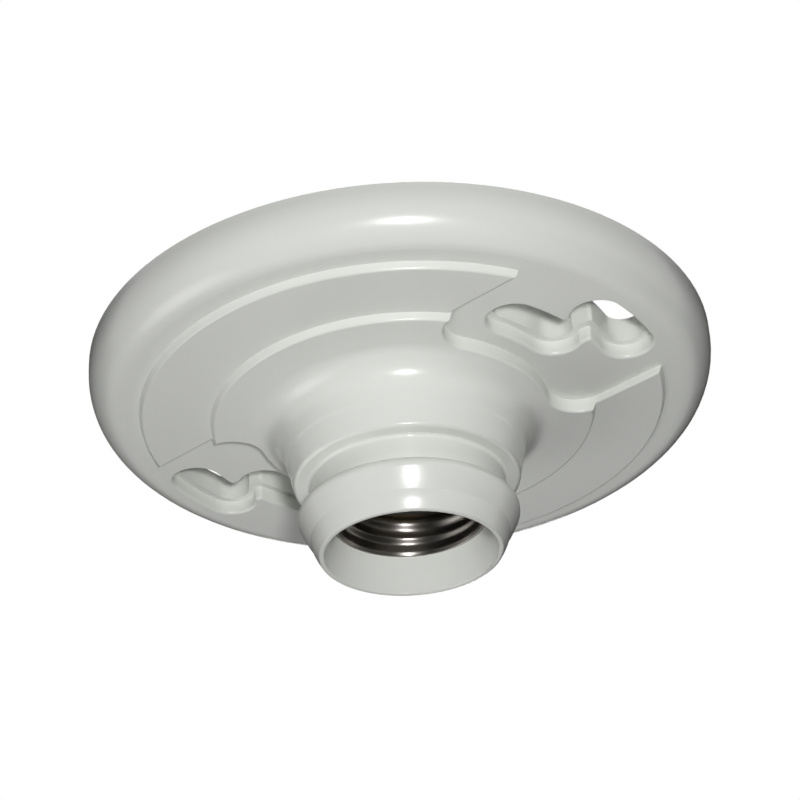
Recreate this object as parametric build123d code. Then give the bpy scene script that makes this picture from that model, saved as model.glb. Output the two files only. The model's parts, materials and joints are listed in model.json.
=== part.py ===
from build123d import *
import os
from math import cos, radians, sin, tan

# Keyless ceiling lampholder: one white moulding with a screw shell for a medium lamp base.
# The origin is the centre of the back face, which sits against the ceiling box. +Z points up to the
# ceiling and the lamp hangs down. Sizes are millimetres, and depths are measured down from the back.

# Screw shell: rolled lamp thread in thin sheet
thread_radius = 13.2
thread_depth = 0.85
thread_pitch = 3.63
thread_turns = 4
thread_land = 0.9
thread_lead = 1.9
shell_sheet = 0.35
shell_clearance = 0.35
shell_recess = 6.8
shell_hole_clearance = 0.4

# Plate: a rolled rim and two flat steps, reaching past the screws of the larger box
plate_margin = 12.72
rim_edge_height = 1.7
rim_roll_width = 6.0
rim_depth = 9.2
rim_wall = 3.0
rim_ledge_width = 3.1
plate_wall = 3.0
cavity_fillet = 3.0
outer_step_width = 12.85
outer_step_rise = 1.3
inner_step_rise = 1.35
step_draft = 0.6
step_rounding = 0.45

# Bell, collar and shade groove
bell_height = 12.0
bell_fillet = 5.5
neck_taper = 12.0
neck_ring_drop = 6.8
neck_ring_height = 0.7
neck_ring_step = 0.12
collar_overhang = 2.9
collar_rounding = 0.8
groove_wall = 3.6
groove_height = 5.3
groove_fillet = 0.6

# Nose: a bulged ring above a beaded lip
nose_overhang = 2.95
nose_shoulder = 1.5
nose_height = 8.85
nose_bulge = 0.2
crease_drop = 5.55
lip_taper = 1.55
lip_bulge = 0.15
lip_width = 0.8
lip_rounding = 0.45
mouth_flare = 1.5
mouth_rounding = 0.3

# Socket floor, with a raised boss that keeps the contact clear of the shell
floor_thickness = 3.0
flange_width = 4.6
boss_height = 0.8

# Pads and box-screw slots, the same on both sides of the plate
pad_angle = -39.5
pad_width = 41.0
pad_margin = 3.38
pad_corner = 6.0
small_box_radius = 34.93
box_spacing = 9.5
small_lobe_middle = -7.6
small_lobe_span = 16.8
large_lobe_middle = 6.75
large_lobe_span = 13.7
lobe_gap = 0.4
waist_middle = 1.1
waist_width = 7.3
waist_rounding = 0.7
head_slot_depth = 2.7
head_ledge = 1.2
slot_rounding = 0.6
slot_boss_wall = 2.2
small_boss_setback = 0.4
large_boss_setback = 1.8

# Terminal plates and the barrier between them, on the back of the floor
terminal_angle = pad_angle + 90.0
terminal_sheet = 0.9
terminal_width = 7.0
terminal_tail = 5.1
terminal_upturn = 2.6
terminal_bend = 0.6
terminal_margin = 0.9
barrier_thickness = 1.8
barrier_length = 32.0
barrier_height = 4.8
barrier_offset = -1.5

# Terminal screws
screw_setback = 5.6
screw_shank_radius = 1.7
screw_shank_length = 4.7
screw_head_radius = 3.4
screw_head_height = 2.1
screw_head_rounding = 0.6
screw_slot_width = 0.9
screw_slot_depth = 1.1
screw_fit = 0.05
pocket_clearance = 0.4
pocket_spare = 0.5

# Centre contact and rivets
contact_sheet = 0.4
contact_width = 5.0
contact_tail = 1.8
contact_crown_drop = 2.45
contact_tip_place = -2.4
contact_tip_lift = 0.9
contact_bend = 1.0
contact_rivet_inset = 2.5
contact_rivet_radius = 1.1
contact_rivet_head = 1.8
shell_rivet_angle = 28.0
shell_rivet_radius = 0.9
shell_rivet_head = 1.45
rivet_head_height = 0.7
rivet_head_rounding = 0.35
rivet_fit = 0.05

# Depths that follow from the sizes above
outer_step_depth = rim_depth + outer_step_rise
inner_step_depth = outer_step_depth + inner_step_rise
deck_depth = inner_step_depth - plate_wall
floor_depth = deck_depth + floor_thickness
boss_depth = floor_depth + boss_height
ring_top_depth = inner_step_depth + neck_ring_drop
collar_depth = inner_step_depth + bell_height
nose_top_depth = collar_depth + groove_height
crease_depth = nose_top_depth + crease_drop
nose_end_depth = nose_top_depth + nose_height
shell_mouth_depth = nose_end_depth - shell_recess
terminal_top_depth = deck_depth - terminal_sheet

# Radii that follow, from the axis outwards
boss_radius = thread_radius - flange_width
contact_rivet_place = boss_radius - contact_rivet_inset
shell_rivet_place = thread_radius - flange_width / 2
bore_radius = thread_radius + shell_sheet + shell_clearance
mouth_radius = bore_radius + mouth_flare
lip_radius = mouth_radius + lip_width
crease_radius = lip_radius + lip_taper
groove_radius = bore_radius + groove_wall
nose_radius = groove_radius + nose_overhang
neck_radius = groove_radius + collar_overhang
screw_place = bore_radius + screw_setback
neck_slope = tan(radians(neck_taper))
bell_radius = neck_radius + bell_height * neck_slope + neck_ring_step
ring_top_radius = bell_radius - neck_ring_drop * neck_slope
ring_bottom_radius = ring_top_radius - neck_ring_height * neck_slope - neck_ring_step
head_slot_width = box_spacing - lobe_gap
pad_inner_radius = small_box_radius - head_slot_width / 2 - pad_margin
large_box_radius = small_box_radius + box_spacing
plate_radius = large_box_radius + plate_margin
rim_flat_radius = plate_radius - rim_roll_width
outer_step_radius = rim_flat_radius - rim_ledge_width - step_draft
inner_step_radius = outer_step_radius - outer_step_width

waist_place = Rot(0, 0, waist_middle) * Pos(small_box_radius + box_spacing / 2, 0)
terminal_frame = Rot(0, 0, terminal_angle)
level_tolerance = 0.001


def point(radius, depth):
    """A point of a turned outline, at a radius from the axis and a depth below the back face."""
    return (radius, -depth)


def turned(outline):
    """A solid turned about the lamp's axis from a closed outline."""
    return revolve(Plane.XZ * outline, Axis.Z)


def rounded(outline, corners):
    """The outline with each named corner rounded."""
    for radius, depth, rounding in corners:
        vertex = outline.vertices().sort_by_distance(point(radius, depth))[0]
        outline = fillet(vertex, rounding)
    return outline


def standing(outline, top_depth, bottom_depth):
    """A flat outline raised between two depths."""
    return Pos(0, 0, -bottom_depth) * extrude(outline, bottom_depth - top_depth)


def drilled(radius, place, top_depth, bottom_depth):
    """An upright cylinder at a place on the floor, between two depths."""
    return standing(Pos(*place) * Circle(radius), top_depth, bottom_depth)


def body_outline():
    """Half section of the moulding, from the rim round the front and back along the hollow."""
    cavity_radius = plate_radius - rim_wall
    cavity_rim_depth = rim_depth - plate_wall
    cavity_outer_depth = outer_step_depth - plate_wall
    cavity_outer_radius = outer_step_radius - step_draft
    cavity_inner_radius = inner_step_radius - step_draft

    roll = EllipticalCenterArc(
        point(rim_flat_radius, rim_edge_height), rim_roll_width, rim_depth - rim_edge_height, 270, arc_size=90
    )
    front = Polyline(
        point(rim_flat_radius, rim_depth),
        point(outer_step_radius + step_draft, rim_depth),
        point(outer_step_radius, outer_step_depth),
        point(inner_step_radius + step_draft, outer_step_depth),
        point(inner_step_radius, inner_step_depth),
        point(bell_radius, inner_step_depth),
        point(ring_top_radius, ring_top_depth),
        point(ring_bottom_radius, ring_top_depth + neck_ring_height),
        point(neck_radius, collar_depth),
        point(groove_radius, collar_depth),
        point(groove_radius, nose_top_depth),
        point(nose_radius, nose_top_depth),
    )
    bulge = SagittaArc(point(nose_radius, nose_top_depth), point(crease_radius, crease_depth), nose_bulge)
    lip = SagittaArc(point(crease_radius, crease_depth), point(lip_radius, nose_end_depth), lip_bulge)
    socket = Polyline(
        point(lip_radius, nose_end_depth),
        point(mouth_radius, nose_end_depth),
        point(bore_radius, shell_mouth_depth),
        point(bore_radius, floor_depth),
        point(boss_radius, floor_depth),
        point(boss_radius, boss_depth),
        point(0, boss_depth),
        point(0, deck_depth),
        point(cavity_inner_radius - step_draft, deck_depth),
        point(cavity_inner_radius, cavity_outer_depth),
        point(cavity_outer_radius - step_draft, cavity_outer_depth),
        point(cavity_outer_radius, cavity_rim_depth),
        point(cavity_radius, cavity_rim_depth),
        point(cavity_radius, 0),
        point(plate_radius, 0),
        point(plate_radius, rim_edge_height),
    )
    outline = make_face((roll + front + bulge + lip + socket).edges())
    return rounded(
        outline,
        [
            (bell_radius, inner_step_depth, bell_fillet),
            (neck_radius, collar_depth, collar_rounding),
            (groove_radius, collar_depth, groove_fillet),
            (nose_radius, nose_top_depth, nose_shoulder),
            (lip_radius, nose_end_depth, lip_rounding),
            (mouth_radius, nose_end_depth, mouth_rounding),
            (cavity_radius, cavity_rim_depth, cavity_fillet),
        ],
    )


def pad_outline(inner_radius):
    """A straight-sided pad from the rim in to the bell, with rounded inner corners."""
    strip = Pos(plate_radius / 2, 0) * Rectangle(plate_radius, pad_width)
    pad = strip - Circle(inner_radius)
    corners = pad.vertices().sort_by_distance((0, 0))[0:2]
    pad = fillet(corners, pad_corner)
    return pad & Circle(outer_step_radius + step_draft)


def arc_slot(radius, middle, span, width):
    """An arc slot round the axis."""
    return SlotArc(CenterArc((0, 0), radius, middle - span / 2, span), width)


def small_lobe(width):
    """The slot for the screws of a small box."""
    return arc_slot(small_box_radius, small_lobe_middle, small_lobe_span, width)


def large_lobe(width):
    """The slot for the screws of a large box."""
    return arc_slot(large_box_radius, large_lobe_middle, large_lobe_span, width)


def slot_outline(inset):
    """Both lobes joined by a waist, this far inside the edge of the head recess."""
    width = head_slot_width - 2 * inset
    waist = waist_place * Rectangle(box_spacing, waist_width - 2 * inset)
    return small_lobe(width) + waist + large_lobe(width)


def softened(outline):
    """A slot outline with the four corners of its waist rounded."""
    corners = outline.vertices().sort_by_distance(waist_place.position)[0:4]
    return fillet(corners, waist_rounding)


def level_faces(solid, depth):
    """The flat faces that lie at one depth."""
    faces = solid.faces().filter_by(Axis.Z)
    return faces.filter_by_position(Axis.Z, -depth - level_tolerance, -depth + level_tolerance)


def outward_edges(solid, depth):
    """The edges round the flat faces at one depth that stand out, such as a step's rim and a pad's walls."""
    edges = [edge for face in level_faces(solid, depth) for edge in face.outer_wire().edges()]
    for edge in edges:
        edge.topo_parent = solid
    return [edge for edge in edges if not edge.is_interior]


def make_body():
    """The moulding: plate, pads, slots, bell, nose and socket in one piece."""
    body = turned(body_outline())
    backing_depth = rim_depth - plate_wall
    ledge_depth = rim_depth - head_slot_depth
    boss_width = head_slot_width + 2 * slot_boss_wall
    boss_root_depth = backing_depth + plate_wall / 2
    slot_boss = standing(small_lobe(boss_width), small_boss_setback, boss_root_depth)
    slot_boss += standing(large_lobe(boss_width), large_boss_setback, boss_root_depth)
    head_recess = standing(softened(slot_outline(0)), ledge_depth, rim_depth)
    shank_slot = standing(softened(slot_outline(head_ledge)), 0, ledge_depth)
    for angle in (pad_angle, pad_angle + 180):
        side = Rot(0, 0, angle)
        body += side * standing(pad_outline(pad_inner_radius - plate_wall), backing_depth, rim_depth)
        body += side * slot_boss
        body -= side * standing(pad_outline(pad_inner_radius), rim_depth, collar_depth)
        body -= side * head_recess
        body -= side * shank_slot

    slot_edges = [
        edge
        for face in level_faces(body, rim_depth)
        for wire in face.inner_wires()
        if Vector(wire.center().X, wire.center().Y, 0).length > pad_inner_radius
        for edge in wire.edges()
    ]
    body = fillet(slot_edges, slot_rounding)
    for depth in (outer_step_depth, inner_step_depth):
        body = fillet(outward_edges(body, depth), step_rounding)

    barrier = Pos(barrier_offset, 0) * Rectangle(barrier_thickness, barrier_length)
    body += terminal_frame * standing(barrier, deck_depth - barrier_height, deck_depth)
    pocket_depth = terminal_top_depth + screw_shank_length + pocket_spare
    for place in (screw_place, -screw_place):
        body -= terminal_frame * drilled(
            screw_shank_radius + pocket_clearance, (place, 0), deck_depth, pocket_depth
        )
    body -= terminal_frame * drilled(
        contact_rivet_radius + rivet_fit, (contact_rivet_place, 0), deck_depth, boss_depth
    )
    for place in shell_rivet_places():
        body -= terminal_frame * drilled(shell_rivet_radius + rivet_fit, place, deck_depth, floor_depth)
    return body


def shell_rivet_places():
    """The two shell rivets, either side of the neutral terminal."""
    return [
        (-shell_rivet_place * cos(radians(angle)), shell_rivet_place * sin(radians(angle)))
        for angle in (-shell_rivet_angle, shell_rivet_angle)
    ]


def make_screw_shell():
    """Thin shell with a rolled thread, open at the mouth and flanged against the floor."""
    flange_depth = floor_depth + shell_sheet
    crest_radius = thread_radius - thread_depth
    inside = [
        point(boss_radius + shell_hole_clearance, flange_depth),
        point(thread_radius, flange_depth),
    ]
    flank = (thread_pitch - 2 * thread_land) / 2
    first_crest_depth = shell_mouth_depth - thread_lead - thread_turns * thread_pitch + thread_land + flank
    for turn in range(thread_turns):
        crest_start = first_crest_depth + turn * thread_pitch
        inside += [
            point(thread_radius, crest_start - flank),
            point(crest_radius, crest_start),
            point(crest_radius, crest_start + thread_land),
            point(thread_radius, crest_start + thread_land + flank),
        ]
    inside.append(point(thread_radius, shell_mouth_depth))
    wall = make_face(offset(Polyline(*inside), shell_sheet, side=Side.LEFT, kind=Kind.INTERSECTION).edges())
    shell = turned(wall)
    for place in shell_rivet_places():
        shell -= terminal_frame * drilled(shell_rivet_radius + rivet_fit, place, floor_depth, flange_depth)
    return shell


def bent_strip(path, sheet, width, bend):
    """A strip of sheet folded along a path, with its width across the path."""
    section = make_face(offset(FilletPolyline(*path, radius=bend), sheet, side=Side.LEFT).edges())
    return Plane.XZ * extrude(section, width / 2, both=True)


def make_centre_contact():
    """Springy tab: flat under its rivet, then bent down to a rounded crown under the lamp's tip."""
    crown_depth = boss_depth + contact_crown_drop
    tab = bent_strip(
        [
            point(contact_rivet_place + contact_tail, boss_depth),
            point(contact_rivet_place - contact_rivet_head, boss_depth),
            point(0, crown_depth),
            point(contact_tip_place, crown_depth - contact_tip_lift),
        ],
        contact_sheet,
        contact_width,
        contact_bend,
    )
    tab -= drilled(
        contact_rivet_radius + rivet_fit, (contact_rivet_place, 0), boss_depth, boss_depth + contact_sheet
    )
    return terminal_frame * tab


def terminal_plate(inner_end):
    """Bent plate on the floor, tapped for its screw, with an upturned end that keeps the wire in place."""
    outer_end = screw_place + terminal_tail
    plate = bent_strip(
        [
            point(inner_end, deck_depth),
            point(outer_end, deck_depth),
            point(outer_end, deck_depth - terminal_upturn),
        ],
        terminal_sheet,
        terminal_width,
        terminal_sheet + terminal_bend,
    )
    return plate - drilled(screw_shank_radius + screw_fit, (screw_place, 0), terminal_top_depth, deck_depth)


def make_hot_terminal():
    """Brass plate from the contact rivet out to the hot screw."""
    plate = terminal_plate(contact_rivet_place - contact_rivet_head - terminal_margin)
    plate -= drilled(
        contact_rivet_radius + rivet_fit, (contact_rivet_place, 0), terminal_top_depth, deck_depth
    )
    return terminal_frame * plate


def make_neutral_terminal():
    """Plated plate with a wide foot over both shell rivets, out to the neutral screw."""
    places = shell_rivet_places()
    foot_length = 2 * (shell_rivet_head + terminal_margin)
    foot_width = abs(places[1][1] - places[0][1]) + foot_length
    foot_middle = places[0][0]
    strip = Rot(0, 0, 180) * terminal_plate(-foot_middle)
    foot = Pos(foot_middle, 0) * Rectangle(foot_length, foot_width)
    foot = fillet(foot.vertices(), terminal_margin)
    plate = strip + standing(foot, terminal_top_depth, deck_depth)
    for place in places:
        plate -= drilled(shell_rivet_radius + rivet_fit, place, terminal_top_depth, deck_depth)
    return terminal_frame * plate


def rivet(radius, head_radius, place, top_depth, bottom_depth):
    """A rivet with a rounded head at both ends of its grip."""
    heads = []
    for outer_depth, inner_depth in (
        (top_depth - rivet_head_height, top_depth),
        (bottom_depth, bottom_depth + rivet_head_height),
    ):
        head = drilled(head_radius, place, outer_depth, inner_depth)
        rims = head.edges().sort_by(Axis.Z)
        outer_rim = rims[-1] if inner_depth == top_depth else rims[0]
        heads.append(fillet(outer_rim, rivet_head_rounding))
    return drilled(radius, place, top_depth, bottom_depth) + heads[0] + heads[1]


def make_contact_rivet():
    """Rivet from the contact tab through the floor to the hot terminal."""
    return terminal_frame * rivet(
        contact_rivet_radius,
        contact_rivet_head,
        (contact_rivet_place, 0),
        terminal_top_depth,
        boss_depth + contact_sheet,
    )


def make_shell_rivets():
    """Two equal rivets from the shell's flange through the floor to the neutral terminal."""
    rivets = [
        terminal_frame
        * rivet(shell_rivet_radius, shell_rivet_head, place, terminal_top_depth, floor_depth + shell_sheet)
        for place in shell_rivet_places()
    ]
    return Compound(children=rivets)


def make_terminal_screw(place):
    """Slotted binding screw, head up, standing in its tapped plate."""
    head_top_depth = terminal_top_depth - screw_head_height
    head = drilled(screw_head_radius, (place, 0), head_top_depth, terminal_top_depth)
    head = fillet(head.edges().sort_by(Axis.Z)[-1], screw_head_rounding)
    shank = drilled(screw_shank_radius, (place, 0), terminal_top_depth, terminal_top_depth + screw_shank_length)
    slot = Pos(place, 0) * Rectangle(screw_slot_width, 2 * screw_head_radius)
    screw = head + shank - standing(slot, head_top_depth, head_top_depth + screw_slot_depth)
    return terminal_frame * screw


pieces = {
    "body": make_body(),
    "screw_shell": make_screw_shell(),
    "centre_contact": make_centre_contact(),
    "contact_rivet": make_contact_rivet(),
    "shell_rivets": make_shell_rivets(),
    "hot_terminal": make_hot_terminal(),
    "neutral_terminal": make_neutral_terminal(),
    "hot_screw": make_terminal_screw(screw_place),
    "neutral_screw": make_terminal_screw(-screw_place),
}

os.makedirs("parts", exist_ok=True)
for name, piece in pieces.items():
    export_step(piece, f"parts/{name}.step")
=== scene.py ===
import json
from math import cos, pi, radians, sin, tanh, tau

import bmesh
import bpy
from mathutils import Matrix, Vector


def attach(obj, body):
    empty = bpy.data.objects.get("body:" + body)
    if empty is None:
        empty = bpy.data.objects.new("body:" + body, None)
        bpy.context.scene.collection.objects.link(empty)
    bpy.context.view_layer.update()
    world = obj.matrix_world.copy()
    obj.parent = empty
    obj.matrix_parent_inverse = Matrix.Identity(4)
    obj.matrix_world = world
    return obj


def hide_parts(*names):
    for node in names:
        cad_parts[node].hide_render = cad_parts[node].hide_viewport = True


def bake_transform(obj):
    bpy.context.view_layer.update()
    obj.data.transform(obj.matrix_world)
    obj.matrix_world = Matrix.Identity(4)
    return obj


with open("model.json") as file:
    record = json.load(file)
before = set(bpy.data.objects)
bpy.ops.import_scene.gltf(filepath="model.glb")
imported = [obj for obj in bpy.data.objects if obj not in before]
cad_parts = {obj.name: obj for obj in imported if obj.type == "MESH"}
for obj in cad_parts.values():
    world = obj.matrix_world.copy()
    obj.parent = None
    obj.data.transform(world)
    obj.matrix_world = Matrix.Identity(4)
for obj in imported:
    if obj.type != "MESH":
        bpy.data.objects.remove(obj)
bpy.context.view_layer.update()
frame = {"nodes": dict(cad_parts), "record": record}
nodes = frame["nodes"]

MM = 0.001
SHARP_ANGLE = radians(35.0)

# Camera, as the photograph was taken: from below, looking up, with a slight roll
CAMERA_LENS = 94.8
CAMERA_SENSOR = 36.0
CAMERA_AIM = Vector((-0.38, 0.0, -5.9)) * MM
CAMERA_DISTANCE = 387.4 * MM
CAMERA_ELEVATION = radians(-32.03)
CAMERA_ROLL = radians(-3.51)

# Light: a soft key near the camera, a weak lamp low on the left, narrow ones above and behind, and a dim
# fill. Angles are in degrees, distances and sizes in metres, and powers in watts.
LAMPS = {
    "key": dict(azimuth=4.6, elevation=-28.5, distance=0.42, size=0.042, power=0.393, spread=110.0),
    "side": dict(azimuth=-100.0, elevation=-48.0, distance=0.7, size=0.4, power=1.15, spread=180.0),
    "top": dict(azimuth=180.0, elevation=72.0, distance=0.7, size=0.1, power=0.06, spread=20.0),
    "rear": dict(azimuth=180.0, elevation=10.0, distance=0.8, size=0.3, power=0.05, spread=60.0),
}
FILL_LEVEL = 0.02

# Dark cards, mirrored in the object but out of the picture. Two stand behind it and darken its edges.
# Three in front, below and at the right darken the metal in the socket.
FLAGS = {
    "right_flag": dict(azimuth=147.0, elevation=15.0, distance=0.75, width=1.0, height=0.9),
    "left_flag": dict(azimuth=-147.0, elevation=15.0, distance=0.75, width=1.0, height=0.9),
    "front_flag": dict(azimuth=0.0, elevation=-20.0, distance=1.1, width=1.6, height=0.5),
    "low_flag": dict(azimuth=0.0, elevation=-60.0, distance=0.5, width=1.0, height=0.5),
    "side_flag": dict(azimuth=60.0, elevation=-45.0, distance=0.55, width=1.1, height=0.5),
}
FLAG_TINTS = ((0.02, 0.02, 0.02), (0.03, 0.03, 0.03))
FLAG_ROUGHNESS = 0.9

# Floor below the hanging part
FLOOR_HEIGHT = -0.6
FLOOR_SIZE = 6.0
FLOOR_GLOW = 0.75
FLOOR_TINTS = ((0.80, 0.80, 0.79), (0.82, 0.82, 0.81))
FLOOR_ROUGHNESS = 0.8
STAGE_CLOUDS = 3.0

# Finishes: the two colours and the two roughnesses that each runs between. Clouds, peel and marks are
# patterns, in cells to the metre, and heights are in metres.
PLASTIC_TINTS = ((0.788, 0.803, 0.762), (0.798, 0.813, 0.772))
PLASTIC_ROUGHNESS = (0.245, 0.255)
PLASTIC_CLOUDS = 40.0
PLASTIC_SHEEN_CLOUDS = 30.0
PLASTIC_PEEL = 700.0
PLASTIC_PEEL_HEIGHT = 0.000001
PLASTIC_IOR = 1.45
METAL_CLOUDS = 150.0
METAL_ROUGHNESS = (0.22, 0.26)
METAL_SHEEN_CLOUDS = 700.0
METAL_MARKS = 3000.0
METAL_MARK_HEIGHT = 0.0000006
BRASS_TINTS = ((0.80, 0.60, 0.28), (0.84, 0.64, 0.31))
PLATED_TINTS = ((0.72, 0.71, 0.68), (0.76, 0.75, 0.72))
# The shell's two colours are kept far darker than its bright metal: painted shade that stands in for the dark
# surroundings the socket mirrors.
SHELL_SHADE_DARKENED_TINTS = ((0.24, 0.225, 0.208), (0.29, 0.271, 0.252))
SHELL_ROUGHNESS = (0.30, 0.32)
SHELL_SHEEN_CLOUDS = 500.0
SHELL_ANISOTROPY = 0.55
QUARTER_TURN = 0.25
PATTERN_LOW = 0.3
PATTERN_HIGH = 0.7

# Screw shell, in millimetres: thin sheet with a rolled right-hand lamp thread
SHELL_RADIUS = 13.2
SHELL_SHEET = 0.35
SHELL_FLANGE_RADIUS = 9.0
SHELL_FLOOR_DEPTH = 11.85
SHELL_MOUTH_DEPTH = 31.2
SHELL_CORNER = 0.8
SHELL_FLARE = 0.22
SHELL_FLARE_HEIGHT = 0.75
THREAD_DEPTH = 0.85
THREAD_PITCH = 3.63
THREAD_TURNS = 4
THREAD_LEAD = 1.9
THREAD_RUNOUT = 1.6
THREAD_SQUARENESS = 0.6
THREAD_START = pi

# Centre contact, in millimetres, along its own line out from the lamp's axis
TERMINAL_TURN = Matrix.Rotation(radians(50.5), 4, "Z")
CONTACT_PATH = [(7.9, 12.65), (4.3, 12.65), (0.0, 15.1), (-2.4, 14.2)]
CONTACT_SHEET = 0.4
CONTACT_WIDTH = 5.0
CONTACT_BEND = 1.4
CONTACT_EDGE = 0.12
CONTACT_TIP_ROUND = 1.5
CONTACT_STEP = 0.25

# Terminal screws, in millimetres
SCREW_PLACE = 19.5
SCREW_SEAT_DEPTH = 7.95
SCREW_HEAD_RADIUS = 3.4
SCREW_HEAD_HEIGHT = 2.1
SCREW_HEAD_ROUND = 0.6
SCREW_HEAD_EDGE = 0.15
SCREW_SHANK_RADIUS = 1.7
SCREW_SHANK_LENGTH = 4.7
SCREW_PITCH = 0.8
SCREW_THREAD_DEPTH = 0.3
SCREW_RUNOUT = 0.6
SCREW_POINT = 0.5
SCREW_SLOT_WIDTH = 0.9
SCREW_SLOT_DEPTH = 1.1


def direction_from(azimuth, elevation):
    """Unit vector from the object out to a viewer at this azimuth and elevation. Azimuth 0 is -Y."""
    level = cos(elevation)
    return Vector((sin(azimuth) * level, -cos(azimuth) * level, sin(elevation)))


def facing(place, target, roll=0.0):
    """World matrix of a camera or lamp at a place, looking at a target."""
    turn = (target - place).to_track_quat("-Z", "Y").to_matrix().to_4x4()
    return Matrix.Translation(place) @ turn @ Matrix.Rotation(roll, 4, "Z")


def add_object(name, data):
    """A new object in the scene."""
    made = bpy.data.objects.new(name, data)
    bpy.context.scene.collection.objects.link(made)
    return made


def smooth_step(value):
    """0 below 0, 1 above 1, with a soft change between."""
    held = min(max(value, 0.0), 1.0)
    return held * held * (3 - 2 * held)


def corner_arc(before, corner, after, radius, steps=7):
    """Points that round the corner of a path of (along, depth) pairs."""
    before, corner, after = Vector(before), Vector(corner), Vector(after)
    start = corner + (before - corner).normalized() * radius
    end = corner + (after - corner).normalized() * radius
    points = []
    for step in range(steps):
        share = step / (steps - 1)
        points.append(start * (1 - share) ** 2 + corner * 2 * share * (1 - share) + end * share**2)
    return points


def mesh_piece(name, vertices, faces, material):
    """A smooth mesh from millimetre points, as a piece with a finish."""
    mesh = bpy.data.meshes.new(name)
    mesh.from_pydata([Vector(v) * MM for v in vertices], [], faces)
    mesh.validate()
    sheet = bmesh.new()
    sheet.from_mesh(mesh)
    bmesh.ops.recalc_face_normals(sheet, faces=sheet.faces)
    sheet.to_mesh(mesh)
    sheet.free()
    mesh.shade_smooth()
    mesh.materials.append(material)
    return add_object(name, mesh)


def turned_faces(columns, rows, closed):
    """Quads of a turned grid: column after column of points, each with this many rows."""
    faces = []
    last = rows if closed else rows - 1
    for column in range(columns):
        here = column * rows
        there = (column + 1) % columns * rows
        for row in range(last):
            below = (row + 1) % rows
            faces.append((here + row, there + row, there + below, here + below))
    return faces


class Shader:
    """A node material under construction."""

    def __init__(self, name):
        self.material = bpy.data.materials.new(name)
        self.material.use_nodes = True
        self.tree = self.material.node_tree
        self.principled = self.tree.nodes["Principled BSDF"]
        self.place = self.add("ShaderNodeTexCoord").outputs["Object"]

    def add(self, kind, **settings):
        node = self.tree.nodes.new(kind)
        for key, value in settings.items():
            setattr(node, key, value)
        return node

    def join(self, source, target):
        self.tree.links.new(source, target)

    def noise(self, scale, detail=2.0):
        """Cloudy pattern with this many cells to the metre."""
        node = self.add("ShaderNodeTexNoise")
        node.inputs["Scale"].default_value = scale
        node.inputs["Detail"].default_value = detail
        self.join(self.place, node.inputs["Vector"])
        return node.outputs["Fac"]

    def roughness(self, source, low, high):
        """Roughness that follows a pattern from low to high."""
        node = self.add("ShaderNodeMapRange")
        node.inputs["From Min"].default_value = PATTERN_LOW
        node.inputs["From Max"].default_value = PATTERN_HIGH
        node.inputs["To Min"].default_value = low
        node.inputs["To Max"].default_value = high
        self.join(source, node.inputs["Value"])
        self.join(node.outputs["Result"], self.principled.inputs["Roughness"])

    def tint(self, source, first, second):
        """A pattern that runs between two colours."""
        node = self.add("ShaderNodeValToRGB")
        node.color_ramp.elements[0].position = PATTERN_LOW
        node.color_ramp.elements[0].color = (*first, 1.0)
        node.color_ramp.elements[1].position = PATTERN_HIGH
        node.color_ramp.elements[1].color = (*second, 1.0)
        self.join(source, node.inputs["Fac"])
        self.join(node.outputs["Color"], self.principled.inputs["Base Color"])

    def bump(self, source, height):
        """Relief of this height in metres from a pattern."""
        node = self.add("ShaderNodeBump")
        node.inputs["Distance"].default_value = height
        self.join(source, node.inputs["Height"])
        self.join(node.outputs["Normal"], self.principled.inputs["Normal"])

    def constant(self, **values):
        for key, value in values.items():
            self.principled.inputs[key.replace("_", " ")].default_value = value


def white_plastic():
    """Smooth glossy white moulding, faintly grey-green, with a trace of orange peel."""
    shader = Shader("white_plastic")
    shader.tint(shader.noise(PLASTIC_CLOUDS), *PLASTIC_TINTS)
    shader.roughness(shader.noise(PLASTIC_SHEEN_CLOUDS, 1.0), *PLASTIC_ROUGHNESS)
    shader.bump(shader.noise(PLASTIC_PEEL, 1.0), PLASTIC_PEEL_HEIGHT)
    shader.constant(IOR=PLASTIC_IOR)
    return shader.material


def bright_metal(name, tints):
    """Polished or plated sheet metal with faint cloudiness and fine marks."""
    shader = Shader(name)
    shader.tint(shader.noise(METAL_CLOUDS, 3.0), *tints)
    shader.roughness(shader.noise(METAL_SHEEN_CLOUDS, 4.0), *METAL_ROUGHNESS)
    shader.bump(shader.noise(METAL_MARKS, 2.0), METAL_MARK_HEIGHT)
    shader.constant(Metallic=1.0)
    return shader.material


def rolled_metal(name, tints):
    """Dull rolled sheet whose fine marks run round the shell and draw its highlights out along it; its dark
    colour is painted shade for the dark surroundings it mirrors.
    """
    shader = Shader(name)
    shader.tint(shader.noise(METAL_CLOUDS, 3.0), *tints)
    shader.roughness(shader.noise(SHELL_SHEEN_CLOUDS, 3.0), *SHELL_ROUGHNESS)
    tangent = shader.add("ShaderNodeTangent", direction_type="RADIAL", axis="Z")
    shader.join(tangent.outputs["Tangent"], shader.principled.inputs["Tangent"])
    shader.constant(Metallic=1.0, Anisotropic=SHELL_ANISOTROPY, Anisotropic_Rotation=QUARTER_TURN)
    return shader.material


def shell_radius(angle, depth):
    """Inside radius of the screw shell: a knuckle thread that runs out at both ends, and a flared mouth."""
    thread_end = SHELL_MOUTH_DEPTH - THREAD_LEAD
    thread_start = thread_end - THREAD_TURNS * THREAD_PITCH
    phase = (depth - thread_start) / THREAD_PITCH + (angle + THREAD_START) / tau
    crest = (1 - tanh(THREAD_SQUARENESS * cos(tau * phase)) / tanh(THREAD_SQUARENESS)) / 2
    run_in = smooth_step((depth - thread_start) / THREAD_RUNOUT)
    run_out = smooth_step((thread_end - depth) / THREAD_RUNOUT)
    flare = smooth_step((depth - SHELL_MOUTH_DEPTH + SHELL_FLARE_HEIGHT) / SHELL_FLARE_HEIGHT)
    return SHELL_RADIUS - THREAD_DEPTH * crest * (run_in * run_out) + SHELL_FLARE * flare


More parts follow.
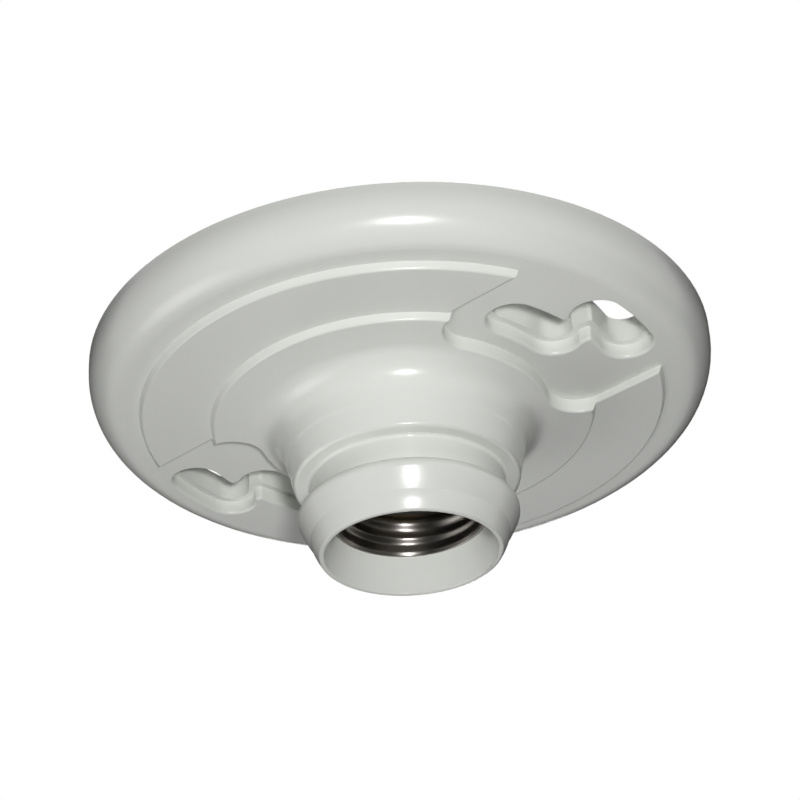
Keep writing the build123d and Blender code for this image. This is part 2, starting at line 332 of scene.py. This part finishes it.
def add_screw_shell(material):
    """Rolled shell: a flange on the socket's floor, a rounded corner and a helical thread to the mouth."""
    columns = 160
    wall_rows = 150
    corner_rows = 6
    flange_depth = SHELL_FLOOR_DEPTH + SHELL_SHEET
    wall_start = flange_depth + SHELL_CORNER
    vertices = []
    for column in range(columns):
        angle = tau * column / columns
        inside = [(SHELL_FLANGE_RADIUS, flange_depth)]
        for row in range(corner_rows):
            turn = pi / 2 * row / corner_rows
            inside.append((
                SHELL_RADIUS - SHELL_CORNER * (1 - sin(turn)),
                wall_start - SHELL_CORNER * cos(turn),
            ))
        for row in range(wall_rows + 1):
            depth = wall_start + (SHELL_MOUTH_DEPTH - wall_start) * row / wall_rows
            inside.append((shell_radius(angle, depth), depth))
        outside = [(SHELL_FLANGE_RADIUS, SHELL_FLOOR_DEPTH)]
        for radius, depth in inside[1:corner_rows + 1]:
            outside.append((radius + SHELL_SHEET, depth - SHELL_SHEET))
        for radius, depth in inside[corner_rows + 1:]:
            outside.append((radius + SHELL_SHEET, depth))
        for radius, depth in inside + outside[::-1]:
            vertices.append((radius * cos(angle), radius * sin(angle), -depth))
    rows = len(vertices) // columns
    shell = mesh_piece("rolled_shell", vertices, turned_faces(columns, rows, True), material)
    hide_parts("screw_shell")
    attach(shell, "holder")


def contact_line():
    """Points along the upper side of the contact, with its bends rounded."""
    points = [Vector(CONTACT_PATH[0])]
    for before, corner, after in zip(CONTACT_PATH, CONTACT_PATH[1:], CONTACT_PATH[2:]):
        points += corner_arc(before, corner, after, CONTACT_BEND)
    points.append(Vector(CONTACT_PATH[-1]))
    line = [points[0]]
    for start, end in zip(points, points[1:]):
        steps = max(1, round((end - start).length / CONTACT_STEP))
        line += [start.lerp(end, step / steps) for step in range(1, steps + 1)]
    return line


def add_contact(material):
    """Springy brass leaf under the lamp's tip, with a round-cornered end."""
    line = contact_line()
    total = sum((b - a).length for a, b in zip(line, line[1:]))
    vertices = []
    along = 0.0
    for index, spot in enumerate(line):
        before = line[max(index - 1, 0)]
        after = line[min(index + 1, len(line) - 1)]
        run = (after - before).normalized()
        down = Vector((run.y, -run.x))
        along += (spot - before).length
        left = total - along
        inset = max(0.0, CONTACT_TIP_ROUND - left)
        narrow = CONTACT_TIP_ROUND - (CONTACT_TIP_ROUND**2 - inset**2) ** 0.5
        half = CONTACT_WIDTH / 2 - narrow
        section = (
            (-half + CONTACT_EDGE, 0.0),
            (half - CONTACT_EDGE, 0.0),
            (half, CONTACT_EDGE),
            (half, CONTACT_SHEET - CONTACT_EDGE),
            (half - CONTACT_EDGE, CONTACT_SHEET),
            (-half + CONTACT_EDGE, CONTACT_SHEET),
            (-half, CONTACT_SHEET - CONTACT_EDGE),
            (-half, CONTACT_EDGE),
        )
        for across, drop in section:
            place = spot + down * drop
            vertices.append(TERMINAL_TURN @ Vector((place.x, across, -place.y)))
    sections = len(line)
    corners = len(vertices) // sections
    faces = turned_faces(sections, corners, True)[:(sections - 1) * corners]
    faces.append(tuple(range(corners)))
    faces.append(tuple(range((sections - 1) * corners, sections * corners)))
    leaf = mesh_piece("contact_leaf", vertices, faces, material)
    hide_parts("centre_contact")
    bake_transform(leaf)


def screw_section(angle):
    """Half of a terminal screw's outline at one angle: radii and depths from the head's top to the point."""
    flat_rings = 4
    round_steps = 8
    shank_rows = 48
    top = SCREW_SEAT_DEPTH - SCREW_HEAD_HEIGHT
    flat = SCREW_HEAD_RADIUS - SCREW_HEAD_ROUND
    outline = [(flat * ring / flat_rings, top) for ring in range(1, flat_rings)]
    for step in range(round_steps + 1):
        turn = pi / 2 * step / round_steps
        outline.append((flat + SCREW_HEAD_ROUND * sin(turn), top + SCREW_HEAD_ROUND * (1 - cos(turn))))
    outline.append((SCREW_HEAD_RADIUS, SCREW_SEAT_DEPTH - SCREW_HEAD_EDGE))
    outline.append((SCREW_HEAD_RADIUS - SCREW_HEAD_EDGE, SCREW_SEAT_DEPTH))
    outline.append((SCREW_SHANK_RADIUS + SCREW_HEAD_EDGE, SCREW_SEAT_DEPTH))
    for row in range(shank_rows + 1):
        along = SCREW_SHANK_LENGTH * row / shank_rows
        left = SCREW_SHANK_LENGTH - along
        wave = abs(2 * ((along / SCREW_PITCH + angle / tau) % 1) - 1)
        cut = SCREW_THREAD_DEPTH * wave * smooth_step(along / SCREW_RUNOUT) * smooth_step(left / SCREW_RUNOUT)
        point = max(0.0, SCREW_POINT - left)
        outline.append((SCREW_SHANK_RADIUS - cut - point, SCREW_SEAT_DEPTH + along))
    return outline


def add_screw(name, node, body, place, material):
    """Slotted binding screw with a rounded head and a rolled thread."""
    columns = 48
    outlines = [screw_section(tau * column / columns) for column in range(columns)]
    rows = len(outlines[0])
    vertices = []
    for column, outline in enumerate(outlines):
        angle = tau * column / columns
        for radius, depth in outline:
            spot = Vector((place + radius * cos(angle), radius * sin(angle), -depth))
            vertices.append(TERMINAL_TURN @ spot)
    faces = turned_faces(columns, rows, False)
    faces.append(tuple(column * rows for column in range(columns)))
    faces.append(tuple(column * rows + rows - 1 for column in range(columns)))
    screw = mesh_piece(name, vertices, faces, material)
    cutter_mesh = bpy.data.meshes.new("slot_cutter")
    block = bmesh.new()
    bmesh.ops.create_cube(block, size=1.0)
    block.to_mesh(cutter_mesh)
    block.free()
    cutter = add_object("slot_cutter", cutter_mesh)
    # The cutter is centred on the head's top, and longer than the head is wide
    top = SCREW_SEAT_DEPTH - SCREW_HEAD_HEIGHT
    size = Vector((SCREW_SLOT_WIDTH, 3 * SCREW_HEAD_RADIUS, 2 * SCREW_SLOT_DEPTH)) * MM
    cutter.matrix_world = (
        TERMINAL_TURN @ Matrix.Translation(Vector((place, 0, -top)) * MM) @ Matrix.Diagonal((*size, 1.0))
    )
    cut = screw.modifiers.new("slot", "BOOLEAN")
    cut.operation = "DIFFERENCE"
    cut.solver = "EXACT"
    cut.object = cutter
    bpy.context.view_layer.update()
    slotted = bpy.data.meshes.new_from_object(screw.evaluated_get(bpy.context.evaluated_depsgraph_get()))
    screw.modifiers.clear()
    screw.data = slotted
    slotted.set_sharp_from_angle(angle=SHARP_ANGLE)
    bpy.data.objects.remove(cutter)
    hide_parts(node)
    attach(screw, body)


def add_camera():
    """The photograph's own view."""
    data = bpy.data.cameras.new("camera")
    data.lens = CAMERA_LENS
    data.sensor_width = CAMERA_SENSOR
    camera = add_object("camera", data)
    place = CAMERA_AIM + direction_from(0.0, CAMERA_ELEVATION) * CAMERA_DISTANCE
    camera.matrix_world = facing(place, CAMERA_AIM, CAMERA_ROLL)
    bpy.context.scene.camera = camera


def add_lamp(name, azimuth, elevation, distance, size, power, spread):
    """Round soft lamp that faces the object."""
    data = bpy.data.lights.new(name, "AREA")
    data.shape = "DISK"
    data.size = size
    data.energy = power
    data.spread = radians(spread)
    lamp = add_object(name, data)
    place = CAMERA_AIM + direction_from(radians(azimuth), radians(elevation)) * distance
    lamp.matrix_world = facing(place, CAMERA_AIM)


def seen_level(tree, unseen, seen):
    """Socket with one level for light and another where the surface is seen, mirrored or seen through."""
    path = tree.nodes.new("ShaderNodeLightPath")
    direct = path.outputs["Is Camera Ray"]
    for kind in ("Is Glossy Ray", "Is Transmission Ray"):
        either = tree.nodes.new("ShaderNodeMath")
        either.operation = "MAXIMUM"
        tree.links.new(direct, either.inputs[0])
        tree.links.new(path.outputs[kind], either.inputs[1])
        direct = either.outputs["Value"]
    level = tree.nodes.new("ShaderNodeMapRange")
    level.inputs["To Min"].default_value = unseen
    level.inputs["To Max"].default_value = seen
    tree.links.new(direct, level.inputs["Value"])
    return level.outputs["Result"]


def add_surroundings():
    """Even pale surroundings: weak as light, white where they are seen or mirrored."""
    world = bpy.data.worlds.new("surroundings")
    bpy.context.scene.world = world
    world.use_nodes = True
    tree = world.node_tree
    background = tree.nodes["Background"]
    background.inputs["Color"].default_value = (1.0, 1.0, 1.0, 1.0)
    tree.links.new(seen_level(tree, FILL_LEVEL, 1.0), background.inputs["Strength"])


def add_sheet(name, width, length, height=0.0):
    """Flat rectangle at a height, round the origin."""
    across = width / 2
    along = length / 2
    corners = [(-across, -along), (across, -along), (across, along), (-across, along)]
    mesh = bpy.data.meshes.new(name)
    mesh.from_pydata([(x, y, height) for x, y in corners], [], [(0, 1, 2, 3)])
    return add_object(name, mesh)


def add_flag(name, azimuth, elevation, distance, width, height):
    """Dark card that faces the object and is seen in reflections alone."""
    flag = add_sheet(name, width, height)
    place = CAMERA_AIM + direction_from(radians(azimuth), radians(elevation)) * distance
    flag.matrix_world = facing(place, CAMERA_AIM)
    flag.visible_camera = False
    flag.visible_diffuse = False
    flag.visible_shadow = False
    shader = Shader(name)
    shader.tint(shader.noise(STAGE_CLOUDS), *FLAG_TINTS)
    shader.constant(Roughness=FLAG_ROUGHNESS)
    flag.data.materials.append(shader.material)


def add_floor():
    """Plain pale floor below the hanging part."""
    floor = add_sheet("floor", FLOOR_SIZE, FLOOR_SIZE, FLOOR_HEIGHT)
    shader = Shader("pale_floor")
    shader.tint(shader.noise(STAGE_CLOUDS), *FLOOR_TINTS)
    shader.constant(Roughness=FLOOR_ROUGHNESS, Emission_Color=(1.0, 1.0, 1.0, 1.0))
    shader.join(seen_level(shader.tree, 0.0, FLOOR_GLOW), shader.principled.inputs["Emission Strength"])
    floor.data.materials.append(shader.material)


plastic = white_plastic()
# The shell's finish takes the darkened tints, which are painted shade.
shell_metal = rolled_metal("shell_metal", SHELL_SHADE_DARKENED_TINTS)
brass = bright_metal("brass", BRASS_TINTS)
plated = bright_metal("plated_metal", PLATED_TINTS)
finishes = {"white_plastic": plastic, "shell_metal": shell_metal, "brass": brass, "plated_metal": plated}

for part in frame["record"]["subparts"]:
    nodes[part["node"]].data.materials.clear()
    nodes[part["node"]].data.materials.append(finishes[part["material_slot"]])

add_screw_shell(shell_metal)
add_contact(brass)
add_screw("brass_screw", "hot_screw", "hot_terminal_screw", SCREW_PLACE, brass)
add_screw("plated_screw", "neutral_screw", "neutral_terminal_screw", -SCREW_PLACE, plated)
add_camera()
for name, setting in LAMPS.items():
    add_lamp(name, **setting)
for name, setting in FLAGS.items():
    add_flag(name, **setting)
add_surroundings()
add_floor()
bpy.context.scene.view_settings.view_transform = "Standard"
